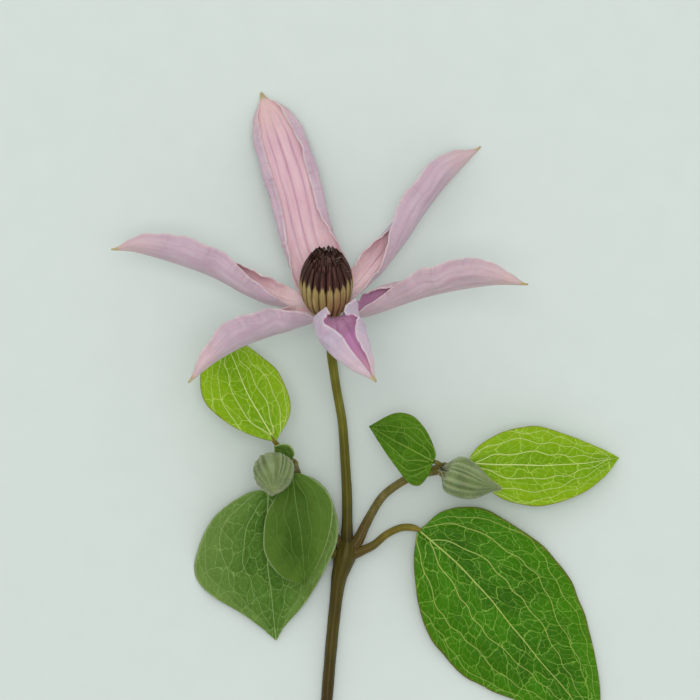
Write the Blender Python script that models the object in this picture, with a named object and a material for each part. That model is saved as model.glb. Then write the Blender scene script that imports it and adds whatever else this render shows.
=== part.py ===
"""A cut sprig of clematis lying on a flat surface: one open flower, two buds, six leaves, a bract and
their stalks.

The sprig lies along Y, with the flower end at +Y and the cut end of the stem at -Y. X is across it and
Z is up, away from the surface. Lengths are in millimetres until each object is made, then in metres.
"""

import math

import bpy
import numpy as np
from mathutils import Matrix, Vector

MM = 0.001

# The flower: its base, and how far its axis leans from straight up towards +Y.
FLOWER_BASE = (-7.5, 22.3, 12.8)
FLOWER_TILT = math.radians(47.0)
SEPAL_SEAT_RADIUS = 3.5
SEPAL_SEAT_HEIGHT = -0.9
SEPAL_THICKNESS = 0.6
STAMEN_COUNT = 22
STAMEN_THICKNESS = 0.55
STAMEN_HEIGHTS = (0.05, 2.5, 5.5, 8.2, 11.0, 13.6)
STAMEN_RADII = (2.85, 4.2, 5.0, 4.95, 4.0, 2.35)
STAMEN_WIDTHS = (0.50, 0.85, 1.05, 1.02, 0.76, 0.32)

# From the middle of the outer stamens in to the wall of inner ones, the wall itself, and the gap inside it.
INNER_STAMEN_SETBACK = 0.75
INNER_STAMEN_WALL = 0.6
PISTIL_GAP = 0.35

LEAF_THICKNESS = 0.45
NODE_CENTRE = (-4.1, -27.1, 3.2)

COLOURS = {
    "sepal": ((0.62, 0.42, 0.55, 1.0), 0.6),
    "filament": ((0.30, 0.24, 0.08, 1.0), 0.5),
    "pistil": ((0.40, 0.42, 0.33, 1.0), 0.8),
    "stem": ((0.10, 0.08, 0.02, 1.0), 0.5),
    "young_stem": ((0.22, 0.20, 0.10, 1.0), 0.7),
    "leaf": ((0.08, 0.21, 0.02, 1.0), 0.5),
    "young_leaf": ((0.30, 0.50, 0.03, 1.0), 0.5),
    "bud": ((0.30, 0.36, 0.24, 1.0), 0.8),
}


def clear_scene():
    for obj in list(bpy.data.objects):
        bpy.data.objects.remove(obj, do_unlink=True)


def material(name):
    colour, roughness = COLOURS[name]
    mat = bpy.data.materials.new(name)
    mat.use_nodes = True
    shader = mat.node_tree.nodes["Principled BSDF"]
    shader.inputs["Base Color"].default_value = colour
    shader.inputs["Roughness"].default_value = roughness
    shader.inputs["Metallic"].default_value = 0.0
    return mat


def add_object(name, data, finish):
    obj = bpy.data.objects.new(name, data)
    bpy.context.scene.collection.objects.link(obj)
    if not data.materials:
        data.materials.append(material(finish))
    return obj


# Curves and grids

def smooth_curve(points, count):
    """count points, evenly spaced, on a Catmull-Rom curve through the given ones."""
    pts = np.array(points, float)
    padded = np.vstack([2 * pts[0] - pts[1], pts, 2 * pts[-1] - pts[-2]])
    fine = []
    for k in range(len(pts) - 1):
        a, b, c, d = padded[k : k + 4]
        for t in np.linspace(0, 1, 24, endpoint=False):
            fine.append(0.5 * (2 * b + (c - a) * t + (2 * a - 5 * b + 4 * c - d) * t**2
                               + (3 * b - a - 3 * c + d) * t**3))
    fine.append(pts[-1])
    fine = np.array(fine)
    run = np.concatenate([[0], np.cumsum(np.linalg.norm(np.diff(fine, axis=0), axis=1))])
    at = np.linspace(0, run[-1], count)
    return np.stack([np.interp(at, run, fine[:, k]) for k in range(fine.shape[1])], axis=1)


def unit(v):
    return v / np.linalg.norm(v, axis=-1, keepdims=True)


def midrib_frames(route, faces, count):
    """Points along a midrib, with the direction of travel, the way its upper face looks, and its left."""
    points = smooth_curve(route, count)
    along = unit(np.gradient(points, axis=0))
    start, end = (unit(np.array(f, float)) for f in faces)
    mix = np.linspace(0, 1, count)[:, None]
    facing = start * (1 - mix) + end * mix
    facing = unit(facing - (facing * along).sum(1, keepdims=True) * along)
    return points, along, facing, np.cross(facing, along)


def sheet_object(name, rows, thickness, finish):
    """A closed thin blade: a grid of points given a thickness."""
    rows = np.array(rows) * MM
    down, across = rows.shape[:2]
    faces = [
        (i * across + j, (i + 1) * across + j, (i + 1) * across + j + 1, i * across + j + 1)
        for i in range(down - 1)
        for j in range(across - 1)
    ]
    mesh = bpy.data.meshes.new(name)
    mesh.from_pydata([tuple(p) for p in rows.reshape(-1, 3)], [], faces)
    mesh.shade_smooth()
    obj = add_object(name, mesh, finish)
    solid = obj.modifiers.new("thickness", "SOLIDIFY")
    solid.thickness = thickness * MM
    solid.offset = 0.0
    solid.use_even_offset = False
    return obj


def tube_object(name, route, radii, finish, count=16):
    """A stalk: a bevelled curve through the route, whose radius runs through the given ones."""
    points = smooth_curve(route, count)
    steps = np.linspace(0, 1, len(radii))
    curve = bpy.data.curves.new(name, "CURVE")
    curve.dimensions = "3D"
    curve.bevel_depth = MM
    curve.bevel_resolution = 2
    curve.use_fill_caps = True
    spline = curve.splines.new("POLY")
    spline.points.add(count - 1)
    for k, point in enumerate(points):
        spline.points[k].co = (*(point * MM), 1.0)
        spline.points[k].radius = float(np.interp(k / (count - 1), steps, radii))
    spline.use_smooth = True
    return add_object(name, curve, finish)


def turned_object(name, profile, sides, finish, flute=0.0, ribs=0):
    """A solid turned about Z from (radius, height) points; ribs ripple its radius by flute."""
    points = []
    for radius, height in profile:
        for k in range(sides):
            turn = 2 * math.pi * k / sides
            r = radius * (1 + flute * math.cos(ribs * turn))
            points.append((r * math.cos(turn) * MM, r * math.sin(turn) * MM, height * MM))
    faces = []
    for i in range(len(profile) - 1):
        for k in range(sides):
            n = (k + 1) % sides
            faces.append((i * sides + k, i * sides + n, (i + 1) * sides + n, (i + 1) * sides + k))
    faces.append(tuple(reversed(range(sides))))
    faces.append(tuple(range((len(profile) - 1) * sides, len(profile) * sides)))
    mesh = bpy.data.meshes.new(name)
    mesh.from_pydata(points, [], faces)
    mesh.shade_smooth()
    return add_object(name, mesh, finish)


# The flower

def flower_frame():
    """The empty that the flower's round pieces stand on: its Z is the flower's axis."""
    empty = bpy.data.objects.new("flower_frame", None)
    bpy.context.scene.collection.objects.link(empty)
    empty.location = Vector(FLOWER_BASE) * MM
    empty.rotation_euler = (-FLOWER_TILT, 0.0, 0.0)
    return empty


def flower_axis():
    return np.array((0.0, math.sin(FLOWER_TILT), math.cos(FLOWER_TILT)))


def flower_point(azimuth, radius, height):
    """A point in the sprig's frame, from its azimuth about the flower's axis, in degrees."""
    turn = math.radians(azimuth)
    side = np.array((1.0, 0.0, 0.0))
    back = np.array((0.0, math.cos(FLOWER_TILT), -math.sin(FLOWER_TILT)))
    radial = math.cos(turn) * side + math.sin(turn) * back
    return np.array(FLOWER_BASE) + radius * radial + height * flower_axis()


def sepal_half_width(s, widest):
    """Half the flattened width of a sepal at the fraction s of its length."""
    stations = (0.0, 0.08, 0.20, 0.40, 0.62, 0.80, 0.91, 0.97, 1.0)
    shares = (0.22, 0.46, 0.78, 0.95, 1.00, 0.86, 0.54, 0.17, 0.05)
    return widest * float(np.interp(s, stations, shares))


def sepal_section(across, half_width, keel, curl):
    """One point of a boat-shaped section: its lobes leave the keel at one angle and curl up by another."""
    steps = 24
    reach = abs(across)
    x = y = 0.0
    for k in range(steps):
        u = reach * (k + 0.5) / steps
        heading = keel * min(1.0, u / 0.15) + curl * u
        x += math.cos(heading) * reach / steps
        y += math.sin(heading) * reach / steps
    return math.copysign(x, across) * half_width, y * half_width


def sepal(name, azimuth, route, faces, widest, keel=25.0, curl=60.0):
    """A sepal from its seat on the receptacle out along its route, with its lobes rising from the keel."""
    rows_count = 13
    seat = flower_point(azimuth, SEPAL_SEAT_RADIUS, SEPAL_SEAT_HEIGHT)
    points, _, facing, left = midrib_frames([seat, *route], faces, rows_count)
    rows = []
    for k in range(rows_count):
        s = k / (rows_count - 1)
        half = sepal_half_width(s, widest)
        open_base = min(1.0, 0.35 + s * 4.0)
        row = []
        for across in np.linspace(-1, 1, 7):
            x, y = sepal_section(across, half, math.radians(keel) * open_base, math.radians(curl) * open_base)
            row.append(points[k] + left[k] * x + facing[k] * y)
        rows.append(row)
    return sheet_object(name, rows, SEPAL_THICKNESS, "sepal")


def sepals():
    axis = tuple(flower_axis())
    sepal("sepal_back", 106, [(-12.1, 34.9, 8.6), (-14.4, 44.5, 6.4), (-17.4, 54.5, 3.4), (-21.1, 64.7, 0.4)],
          (axis, (0.0, 0.2, 1.0)), 7.0, keel=12.0, curl=66.0)
    sepal("sepal_back_right", 43, [(0.1, 26.9, 9.2), (6.9, 34.9, 7.6), (15.1, 45.7, 6.0), (22.7, 53.7, 4.6)],
          (axis, (-0.6, 0.7, 0.35)), 7.2, keel=38.0, curl=62.0)
    sepal("sepal_right", -14, [(0.1, 20.3, 15.0), (11.9, 24.0, 21.5), (23.3, 26.1, 28.0), (31.1, 25.9, 32.3)],
          (axis, (0.0, 0.95, 0.3)), 6.8, keel=38.0, curl=60.0)
    sepal("sepal_front", -73, [(-6.0, 17.8, 24.0), (-5.3, 15.7, 34.0), (-2.6, 11.6, 43.0), (1.6, 7.2, 48.0)],
          (axis, (-0.1, 0.8, 0.6)), 7.4, keel=18.0, curl=60.0)
    sepal("sepal_front_left", -128, [(-15.5, 17.5, 20.5), (-23.9, 14.4, 30.0), (-29.5, 11.2, 36.5),
                                     (-34.3, 7.0, 40.0)],
          (axis, (-0.2, 0.95, 0.3)), 6.6, keel=38.0, curl=62.0)
    sepal("sepal_left", 178, [(-19.9, 22.9, 12.6), (-31.5, 28.5, 14.0), (-44.1, 32.5, 15.6),
                              (-50.3, 33.0, 17.0)],
          (axis, (0.0, 0.95, 0.3)), 6.5, keel=38.0, curl=60.0)


def receptacle(frame):
    """The swollen end of the stalk, which carries the sepals round its rim and the stamens on top."""
    profile = [(1.25, -2.6), (1.9, -2.2), (2.7, -1.4), (2.95, -0.8), (2.8, -0.3)]
    obj = turned_object("receptacle", profile, 16, "young_stem")
    obj.parent = frame


def stamen_radius(height):
    """How far the ring of stamens stands from the flower's axis at a height above its base."""
    return float(np.interp(height, STAMEN_HEIGHTS, STAMEN_RADII))


def stamens(frame):
    """The outer ring: flat filaments side by side, bowed like barrel staves, that end in their anthers."""
    thin = STAMEN_THICKNESS / 2
    points = []
    for height, radius, width in zip(STAMEN_HEIGHTS, STAMEN_RADII, STAMEN_WIDTHS):
        half = width / 2
        for dx, dy in ((-thin, -half), (thin, -half), (thin * 0.6, 0.0), (thin, half), (-thin, half),
                       (-thin * 0.8, 0.0)):
            points.append(((radius + dx) * MM, dy * MM, height * MM))
    faces = []
    sides = 6
    for i in range(len(STAMEN_HEIGHTS) - 1):
        for k in range(sides):
            n = (k + 1) % sides
            faces.append((i * sides + k, i * sides + n, (i + 1) * sides + n, (i + 1) * sides + k))
    faces.append(tuple(reversed(range(sides))))
    last = (len(STAMEN_HEIGHTS) - 1) * sides
    faces.append(tuple(range(last, last + sides)))
    mesh = bpy.data.meshes.new("stamen")
    mesh.from_pydata(points, [], faces)
    mesh.shade_smooth()
    for k in range(STAMEN_COUNT):
        obj = add_object(f"stamen_{k + 1:02d}", mesh, "filament")
        obj.rotation_euler = (0.0, 0.0, 2 * math.pi * k / STAMEN_COUNT)
        obj.parent = frame


def flower_centre(frame):
    """Inside the ring: the inner stamens, packed together as one fluted wall, and the pistils they hold."""
    outside = [(stamen_radius(h) - INNER_STAMEN_SETBACK, h) for h in STAMEN_HEIGHTS]
    inside = [(r - INNER_STAMEN_WALL, h) for r, h in reversed(outside)]
    wall = turned_wall("inner_stamens", outside, inside, 32, "filament")
    wall.parent = frame
    core = [(r - PISTIL_GAP, h) for r, h in reversed(inside)]
    pistils = turned_object("pistils", core, 12, "pistil")
    pistils.parent = frame


def turned_wall(name, outside, inside, sides, finish):
    """A turned ring: the outside profile runs up and the inside one runs down, with 16 flutes outside."""
    rings = outside + inside
    points = []
    for i, (radius, height) in enumerate(rings):
        for k in range(sides):
            turn = 2 * math.pi * k / sides
            r = radius - (0.12 if k % 2 and i < len(outside) else 0.0)
            points.append((r * math.cos(turn) * MM, r * math.sin(turn) * MM, height * MM))
    faces = []
    for i in range(len(rings)):
        m = (i + 1) % len(rings)
        for k in range(sides):
            n = (k + 1) % sides
            faces.append((i * sides + k, i * sides + n, m * sides + n, m * sides + k))
    mesh = bpy.data.meshes.new(name)
    mesh.from_pydata(points, [], faces)
    mesh.shade_smooth()
    return add_object(name, mesh, finish)


# Stems and stalks

def stems():
    """The main stem with its swollen node, and the stalks that leave it. Each starts clear of the node."""
    tube_object("main_stem", [(-8.4, -64.1, 1.28), (-8.0, -57.1, 1.4), (-6.9, -44.0, 1.9), (-5.7, -33.3, 2.8),
                              (-4.9, -30.0, 3.1), NODE_CENTRE],
                (1.12, 1.15, 1.2, 1.25, 1.35, 1.45, 1.85, 1.2), "stem", 20)
    tube_object("flower_stalk", [(-3.95, -26.5, 3.2), (-3.9, -17.1, 3.0), (-4.3, -9.1, 2.8),
                                 (-4.9, -1.1, 3.2),
                                 (-6.1, 5.9, 4.4), (-7.0, 12.5, 6.6), (-7.5, 20.0, 10.6)],
                (1.3, 1.0, 0.95, 0.9, 0.85, 0.9, 1.15), "stem", 22)
    tube_object("right_shoot", [(-1.75, -24.7, 3.55), (1.3, -19.6, 4.2), (4.3, -14.9, 5.4), (7.7, -13.3, 6.4),
                                (11.5, -11.6, 7.4), (15.6, -10.2, 8.6)],
                (0.95, 0.8, 0.8, 0.8, 0.85, 1.1), "young_stem", 16)
    tube_object("right_leaf_stalk", [(-1.9, -27.2, 3.1), (1.5, -25.6, 3.0), (4.3, -23.5, 3.4),
                                     (6.7, -22.3, 4.2),
                                     (9.65, -22.1, 4.9)],
                (0.95, 0.75, 0.72, 0.75, 0.7), "young_stem", 12)
    tube_object("left_shoot", [(-6.15, -24.5, 3.4), (-8.3, -21.4, 3.1), (-11.4, -16.6, 3.1),
                               (-13.0, -13.6, 3.5),
                               (-14.2, -10.6, 5.4), (-14.6, -9.6, 8.0), (-14.7, -9.4, 10.4)],
                (0.9, 0.8, 0.8, 0.8, 0.8, 1.1), "young_stem", 16)
    tube_object("left_leaf_stalk", [(-6.3, -27.4, 3.2), (-10.6, -24.8, 2.4), (-15.2, -19.8, 2.8),
                                    (-18.7, -15.5, 5.2)],
                (0.95, 0.75, 0.72, 0.75), "young_stem", 12)


# Leaves

def leaf(name, route, left, right, finish, faces=((0, 0, 1), (0, 0, 1)), fold=(0.0, 0.0), arch=0.0):
    """A leaf along its midrib. left and right are its outline as (along, across) shares of its length;
    fold lifts each half and arch bows it down towards its margin, both in shares of its width."""
    stations = 13
    samples = 60
    points, along, facing, side = midrib_frames(route, faces, samples)
    length = float(np.linalg.norm(np.diff(points, axis=0), axis=1).sum())
    edges = {1: smooth_curve(left, stations), -1: smooth_curve(right, stations)}

    def place(run, across):
        at = min(max(run, 0.0), 1.0) * (samples - 1)
        k = min(int(at), samples - 2)
        mix = at - k
        blend = [a[k] * (1 - mix) + a[k + 1] * mix for a in (points, along, facing, side)]
        rise = fold[0 if across > 0 else 1] * abs(across) - arch * across**2 / length
        beyond = (run - min(max(run, 0.0), 1.0)) * length
        return blend[0] + blend[1] * beyond + blend[2] * rise + blend[3] * across

    rows = []
    for k in range(stations):
        rib = k / (stations - 1)
        row = []
        for step in range(-3, 4):
            share = abs(step) / 3
            edge = edges[1 if step > 0 else -1][k]
            run = rib + (edge[0] - rib) * share
            row.append(place(run, math.copysign(edge[1] * share, step) * length if step else 0.0))
        rows.append(row)
    return sheet_object(name, rows, LEAF_THICKNESS, finish)


def leaves():
    leaf("right_large_leaf",
         [(10.4, -22.4, 5.0), (19.9, -31.1, 5.0), (30.5, -43.8, 3.6), (39.9, -54.9, 1.7),
          (46.7, -64.1, 0.35)],
         ((0.0, 0.015), (0.02, 0.11), (0.11, 0.20), (0.27, 0.255), (0.42, 0.275), (0.58, 0.245),
          (0.78, 0.15), (1.0, 0.006)),
         ((0.0, 0.015), (0.05, 0.09), (0.13, 0.17), (0.25, 0.235), (0.40, 0.258), (0.55, 0.235),
          (0.75, 0.135), (1.0, 0.006)),
         "leaf", fold=(0.06, 0.02), arch=0.9)
    leaf("right_upper_leaf",
         [(20.1, -9.1, 8.2), (30.1, -9.7, 7.4), (40.0, -9.6, 5.4), (50.3, -8.3, 3.0)],
         ((0.0, 0.01), (0.08, 0.12), (0.24, 0.22), (0.45, 0.25), (0.68, 0.19), (0.87, 0.09), (1.0, 0.006)),
         ((0.0, 0.01), (0.08, 0.10), (0.24, 0.22), (0.45, 0.257), (0.68, 0.215), (0.87, 0.12), (1.0, 0.006)),
         "young_leaf", fold=(0.05, 0.05), arch=0.5)
    leaf("right_small_leaf",
         [(13.2, -8.8, 11.4), (7.0, -5.4, 12.6), (0.5, -1.9, 10.6)],
         ((0.0, 0.02), (-0.03, 0.18), (0.0, 0.38), (0.14, 0.42), (0.34, 0.34), (0.62, 0.21), (1.0, 0.01)),
         ((0.0, 0.02), (0.02, 0.10), (0.16, 0.23), (0.34, 0.345), (0.56, 0.40), (0.78, 0.31), (1.0, 0.01)),
         "leaf", fold=(0.0, 0.1), arch=0.4)
    leaf("left_large_leaf",
         [(-19.6, -14.6, 6.6), (-19.7, -22.0, 6.9), (-19.5, -31.0, 5.2), (-18.1, -44.7, 1.2)],
         ((0.0, 0.02), (-0.10, 0.19), (-0.03, 0.36), (0.20, 0.455), (0.44, 0.415), (0.72, 0.257),
          (0.92, 0.06), (1.0, 0.006)),
         ((0.0, 0.02), (0.03, 0.15), (0.18, 0.35), (0.42, 0.46), (0.58, 0.475), (0.70, 0.36),
          (0.84, 0.16), (1.0, 0.006)),
         "leaf", fold=(0.05, -0.16), arch=0.3)
    leaf("left_middle_leaf",
         [(-14.7, -11.1, 12.0), (-13.7, -19.0, 13.2), (-12.7, -27.0, 11.8), (-12.3, -33.3, 9.6)],
         ((0.0, 0.02), (0.04, 0.12), (0.18, 0.265), (0.36, 0.305), (0.60, 0.235), (0.85, 0.10), (1.0, 0.01)),
         ((0.0, 0.02), (0.10, 0.10), (0.30, 0.25), (0.50, 0.315), (0.72, 0.315), (0.91, 0.20), (1.0, 0.01)),
         "leaf", fold=(0.06, 0.06), arch=0.6)
    leaf("left_upper_leaf",
         [(-18.3, -4.7, 13.4), (-23.5, 4.7, 12.0), (-26.7, 11.7, 8.4), (-28.3, 16.7, 5.0)],
         ((0.0, 0.015), (0.11, 0.12), (0.30, 0.25), (0.53, 0.325), (0.76, 0.265), (0.92, 0.13), (1.0, 0.006)),
         ((0.0, 0.015), (0.09, 0.165), (0.20, 0.25), (0.36, 0.28), (0.55, 0.26), (0.80, 0.145), (1.0, 0.006)),
         "young_leaf", fold=(0.08, 0.08), arch=0.4)
    leaf("left_bract",
         [(-15.3, -8.7, 12.1), (-16.4, -7.2, 14.0), (-18.2, -5.8, 15.6)],
         ((0.0, 0.05), (0.25, 0.30), (0.6, 0.32), (1.0, 0.03)),
         ((0.0, 0.05), (0.25, 0.30), (0.6, 0.32), (1.0, 0.03)),
         "young_leaf", fold=(0.5, 0.5))


def leaf_joints():
    """Short stalks between the shoots' ends and the leaves and buds they carry."""
    tube_object("right_upper_leaf_stalk", [(16.9, -9.9, 8.8), (18.2, -9.4, 8.7), (19.7, -9.1, 8.2)],
                (0.55, 0.5, 0.45),
                "young_stem", 6)
    tube_object("right_bud_stalk", [(15.2, -10.9, 10.0), (14.8, -11.2, 11.3), (15.4, -11.4, 12.2)],
                (0.6, 0.55, 0.55), "young_stem", 6)
    tube_object("right_small_leaf_stalk", [(14.8, -9.7, 9.9), (14.4, -9.4, 10.5), (13.9, -9.2, 11.0)],
                (0.5, 0.5, 0.45), "young_stem", 6)
    tube_object("left_upper_leaf_stalk", [(-15.7, -8.1, 10.2), (-16.9, -6.5, 11.6), (-18.0, -5.2, 13.1)],
                (0.6, 0.5, 0.45), "young_stem", 8)
    tube_object("left_bud_stalk", [(-15.1, -10.1, 11.6), (-16.1, -10.5, 12.9), (-17.4, -10.9, 14.0)],
                (0.65, 0.6, 0.65),
                "young_stem", 8)


# Buds

def bud(name, centre, pointing, length, radius):
    """A closed bud: egg-shaped, pointed, with four blunt ribs where its sepals' margins meet."""
    profile = []
    for k in range(10):
        s = 0.04 + 0.94 * k / 9
        profile.append((radius * math.sin(math.pi * s**0.8) ** 0.62, (s - 0.5) * length))
    obj = turned_object(name, profile, 16, "bud", flute=0.05, ribs=4)
    aim = Vector(pointing).normalized().to_track_quat("Z", "Y")
    obj.matrix_world = Matrix.Translation(Vector(centre) * MM) @ aim.to_matrix().to_4x4()


def buds():
    bud("right_bud", (20.9, -13.4, 12.2), (0.92, -0.33, -0.05), 11.0, 3.85)
    bud("left_bud", (-18.7, -12.2, 18.6), (-0.22, -0.30, 0.93), 9.4, 4.2)


def set_down():
    """Moves the whole sprig so that the origin is under its middle, on the surface it lies on."""
    bpy.context.view_layer.update()
    graph = bpy.context.evaluated_depsgraph_get()
    corners = []
    for obj in bpy.data.objects:
        if obj.type == "EMPTY":
            continue
        shape = obj.evaluated_get(graph).to_mesh()
        corners.extend(obj.matrix_world @ v.co for v in shape.vertices)
    corners = np.array([tuple(c) for c in corners])
    low, high = corners.min(0), corners.max(0)
    shift = Vector((-(low[0] + high[0]) / 2, -(low[1] + high[1]) / 2, -low[2]))
    for obj in bpy.data.objects:
        if obj.parent is None:
            obj.location = obj.location + shift


def build():
    clear_scene()
    frame = flower_frame()
    receptacle(frame)
    sepals()
    stamens(frame)
    flower_centre(frame)
    stems()
    leaves()
    leaf_joints()
    buds()
    set_down()


build()
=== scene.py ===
"""The look of a cut clematis sprig: an open mauve flower, two felted buds and net-veined leaves.

It is built in the order the sprig grows: stems, leaf blades, buds, then the flower from its base outwards.
Lengths inside a section are in millimetres and become metres when a mesh is made.
"""
import math

import bpy
import numpy as np
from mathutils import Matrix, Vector


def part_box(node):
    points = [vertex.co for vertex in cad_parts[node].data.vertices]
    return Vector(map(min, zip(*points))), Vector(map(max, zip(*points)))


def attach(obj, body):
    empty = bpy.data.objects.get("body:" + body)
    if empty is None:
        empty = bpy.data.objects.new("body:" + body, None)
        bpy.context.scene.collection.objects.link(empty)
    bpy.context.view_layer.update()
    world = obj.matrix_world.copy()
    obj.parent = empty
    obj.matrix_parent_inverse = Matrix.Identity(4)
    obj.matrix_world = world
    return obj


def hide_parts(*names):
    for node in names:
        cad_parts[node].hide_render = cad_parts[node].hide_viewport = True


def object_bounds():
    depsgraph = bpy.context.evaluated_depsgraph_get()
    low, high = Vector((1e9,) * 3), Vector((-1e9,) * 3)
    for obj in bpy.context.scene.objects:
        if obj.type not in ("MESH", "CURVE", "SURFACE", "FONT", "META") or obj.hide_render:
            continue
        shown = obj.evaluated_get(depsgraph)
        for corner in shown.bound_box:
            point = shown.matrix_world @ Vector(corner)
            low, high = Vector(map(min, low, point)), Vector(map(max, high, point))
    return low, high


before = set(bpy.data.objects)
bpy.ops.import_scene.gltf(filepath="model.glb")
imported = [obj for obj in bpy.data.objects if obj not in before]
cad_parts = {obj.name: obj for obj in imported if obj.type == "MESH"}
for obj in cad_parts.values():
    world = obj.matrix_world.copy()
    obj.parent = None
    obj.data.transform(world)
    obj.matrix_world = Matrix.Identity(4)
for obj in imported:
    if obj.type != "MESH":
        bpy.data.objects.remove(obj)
cad_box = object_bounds()

# ---------------------------------------------------------------------------------------------------------
# The main stem: the sprig's oldest growth, round and stiff, brown-olive with shallow lengthwise ribs. Its
# top swells into the leaf node, where the flower stalk, shoots and first leaf stalks leave it, and its
# bottom is a plain square cut. Every green piece is measured from the middle of the node.
MM = 0.001


def box_mm(node):
    low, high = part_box(node)
    return np.array(low) / MM, np.array(high) / MM


# The node's middle lies this far in from the far corner of the stem's solid.
NODE_INSET = np.array((1.155, 0.32, 1.5))
leaf_node = box_mm("main_stem")[1] - NODE_INSET


def unit(v):
    return v / np.maximum(np.linalg.norm(v, axis=-1, keepdims=True), 1e-12)


def smooth_curve(points, count):
    """count points, evenly spaced, on a Catmull-Rom curve through the given ones."""
    pts = np.array(points, float)
    padded = np.vstack([2 * pts[0] - pts[1], pts, 2 * pts[-1] - pts[-2]])
    fine = []
    for k in range(len(pts) - 1):
        a, b, c, d = padded[k : k + 4]
        t = np.linspace(0, 1, 40, endpoint=False)[:, None]
        fine.append(0.5 * (2 * b + (c - a) * t + (2 * a - 5 * b + 4 * c - d) * t**2
                           + (3 * b - a - 3 * c + d) * t**3))
    fine = np.vstack(fine + [pts[-1:]])
    run = np.concatenate([[0], np.cumsum(np.linalg.norm(np.diff(fine, axis=0), axis=1))])
    at = np.linspace(0, run[-1], count)
    return np.stack([np.interp(at, run, fine[:, k]) for k in range(fine.shape[1])], axis=1)


def grid_faces(rows, columns, start=0, closed=False, flip=False):
    """Quads of a grid of points; a closed one joins its last column to its first."""
    i, j = np.meshgrid(np.arange(rows - 1), np.arange(columns if closed else columns - 1), indexing="ij")
    n = (j + 1) % columns
    quads = np.stack([i * columns + j, (i + 1) * columns + j, (i + 1) * columns + n, i * columns + n], -1)
    quads = quads.reshape(-1, 4) + start
    return quads[:, ::-1] if flip else quads


def finished_mesh(name, points, faces, marks, finish, slot, replaced):
    """Makes a piece from points in millimetres, with its marks and material, and joins it to the frame."""
    mesh = bpy.data.meshes.new(name)
    mesh.from_pydata((points * MM).tolist(), [], faces.tolist() if isinstance(faces, np.ndarray) else faces)
    mesh.shade_smooth()
    for label, values in marks.items():
        mesh.attributes.new(label, "FLOAT", "POINT").data.foreach_set("value",
                                                                      np.asarray(values,
                                                                                 np.float32).ravel())
    mesh.materials.append(finish)
    obj = bpy.data.objects.new(name, mesh)
    bpy.context.scene.collection.objects.link(obj)
    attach(obj, "root")
    if replaced:
        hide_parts(*replaced)
    return obj


def colour(code):
    """Linear colour from sRGB hex."""
    parts = [int(code[k : k + 2], 16) / 255 for k in (1, 3, 5)]
    return (*[c / 12.92 if c <= 0.04045 else ((c + 0.055) / 1.055) ** 2.4 for c in parts], 1.0)


def add(tree, kind, settings=None, inputs=None):
    """Adds a shader node, sets it up, and joins or sets its inputs by name or number."""
    node = tree.nodes.new("ShaderNode" + kind)
    for key, value in (settings or {}).items():
        if key == "stops":
            ramp = node.color_ramp.elements
            while len(ramp) < len(value):
                ramp.new(0.5)
            for stop, (place, code) in zip(ramp, value):
                stop.position = place
                stop.color = colour(code)
        else:
            setattr(node, key, value)
    for key, value in (inputs or {}).items():
        if isinstance(value, bpy.types.NodeSocket):
            tree.links.new(value, node.inputs[key])
        else:
            node.inputs[key].default_value = value
    return node


def new_finish(name, roughness, ior=1.45, subsurface=0.0, sheen=0.0, specular=0.2):
    """A material with a Principled shader; returns the material, its tree and the shader."""
    finish = bpy.data.materials.new(name)
    finish.use_nodes = True
    tree = finish.node_tree
    shader = tree.nodes["Principled BSDF"]
    shader.inputs["Roughness"].default_value = roughness
    shader.inputs["IOR"].default_value = ior
    shader.inputs["Specular IOR Level"].default_value = specular
    shader.inputs["Subsurface Weight"].default_value = subsurface
    shader.inputs["Subsurface Scale"].default_value = 0.001
    shader.inputs["Sheen Weight"].default_value = sheen
    return finish, tree, shader


def mark(tree, name):
    return add(tree, "Attribute", {"attribute_name": name}).outputs["Fac"]


STEM_RIBS = 8
STEM_UNEVENNESS = 0.02


def stem_finish(name, codes, flush):
    """Waxy stem skin: lengthwise colour streaks a millimetre or so wide, with a red-brown flush."""
    finish, tree, shader = new_finish(name, 0.42, subsurface=0.15)
    place = add(tree, "TexCoord").outputs["Object"]
    streak_map = add(tree, "Mapping", None, {"Vector": place, "Scale": (700.0, 160.0, 700.0)})
    streaks = add(tree, "TexNoise", None, {"Vector": streak_map.outputs[0], "Scale": 1.0, "Detail": 4.0})
    patches = add(tree, "TexNoise", None, {"Vector": place, "Scale": 110.0, "Detail": 3.0})
    skin = add(tree, "ValToRGB", {"stops": [(0.25, codes[0]), (0.5, codes[1]), (0.8, codes[2])]},
               {"Fac": streaks.outputs["Fac"]})
    amount = add(tree, "MapRange", None,
                 {"Value": patches.outputs["Fac"], "From Min": 0.38, "From Max": 0.68})
    aged = add(tree, "Math", {"operation": "MULTIPLY_ADD", "use_clamp": True},
               {0: amount.outputs[0], 1: 0.35, 2: mark(tree, "age")})
    red = add(tree, "MixRGB", None,
              {"Fac": aged.outputs[0], "Color1": skin.outputs[0], "Color2": colour(flush)})
    groove = add(tree, "MixRGB", {"blend_type": "MULTIPLY"},
                 {"Fac": mark(tree, "groove"), "Color1": red.outputs[0], "Color2": colour("#A8A48C")})
    tree.links.new(groove.outputs[0], shader.inputs["Base Color"])
    grain = add(tree, "Bump", None,
                {"Strength": 0.25, "Distance": 0.0002, "Height": streaks.outputs["Fac"]})
    tree.links.new(grain.outputs[0], shader.inputs["Normal"])
    return finish


# Living stem under a thin brown cork skin: dull, streaked lengthwise, darkest where it is oldest.
woody_skin = stem_finish("brown_stem_skin", ("#46400F", "#524A16", "#605820"), "#3C2C10")


def side_frames(points):
    """Two directions across a curve at each of its points, turning as little as they can."""
    along = unit(np.gradient(points, axis=0))
    side = np.zeros_like(points)
    start = np.cross(along[0], (0.0, 0.0, 1.0))
    side[0] = unit(start if np.linalg.norm(start) > 0.1 else np.array((1.0, 0.0, 0.0)))
    for k in range(1, len(points)):
        side[k] = unit(side[k - 1] - along[k] * (side[k - 1] @ along[k]))
    return along, side, np.cross(along, side)


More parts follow.
